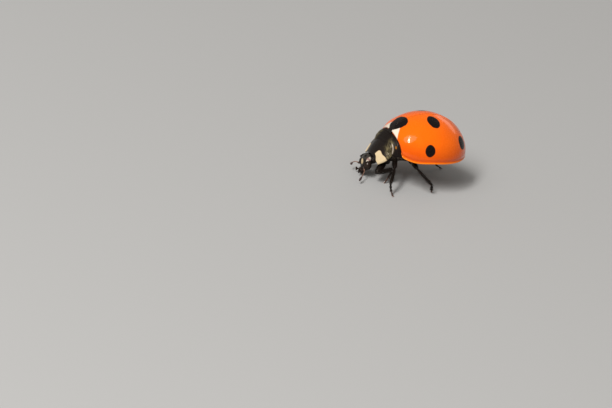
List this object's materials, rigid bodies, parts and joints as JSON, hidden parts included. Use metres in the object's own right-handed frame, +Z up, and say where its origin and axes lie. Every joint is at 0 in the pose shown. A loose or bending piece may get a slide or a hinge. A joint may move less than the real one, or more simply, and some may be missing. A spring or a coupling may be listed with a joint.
{
  "type": "ladybird beetle",
  "caption": "Life-size still model of a spotted ladybird standing on its feet, wing cases closed, head bent down and feelers lowered.",
  "frame": {"origin": "middle of the footprint, on the floor under the feet", "axes": "+Z up, head toward -Y, the beetle's left toward +X"},
  "size_m": [0.0068, 0.008, 0.0046],
  "materials": {
    "wing_case": "polished orange shell with black spots and cream marks",
    "black_shell": "satin black, finely pitted, with cream corner marks",
    "black_body": "low-sheen black with fine grey down",
    "eye": "faceted glossy black",
    "feeler": "satin brown",
    "leg": "satin black with short dark brown hairs and browner feet"
  },
  "bodies": {
    "root": {"elytron_left": "wing_case", "elytron_right": "wing_case", "scutellum": "black_shell", "pronotum": "black_shell", "prothorax": "black_body", "thorax": "black_body", "abdomen": "black_body", "head": "black_shell", "mouthparts": "black_body", "eye_left": "eye", "eye_right": "eye", "antenna_left": "feeler", "antenna_right": "feeler", "palp_left": "feeler", "palp_right": "feeler", "coxa_front_left": "leg", "femur_front_left": "leg", "tibia_front_left": "leg", "tarsus_front_left": "leg", "coxa_middle_left": "leg", "femur_middle_left": "leg", "tibia_middle_left": "leg", "tarsus_middle_left": "leg", "coxa_hind_left": "leg", "femur_hind_left": "leg", "tibia_hind_left": "leg", "tarsus_hind_left": "leg", "coxa_front_right": "leg", "femur_front_right": "leg", "tibia_front_right": "leg", "tarsus_front_right": "leg", "coxa_middle_right": "leg", "femur_middle_right": "leg", "tibia_middle_right": "leg", "tarsus_middle_right": "leg", "coxa_hind_right": "leg", "femur_hind_right": "leg", "tibia_hind_right": "leg", "tarsus_hind_right": "leg"}
  },
  "joints": []
}
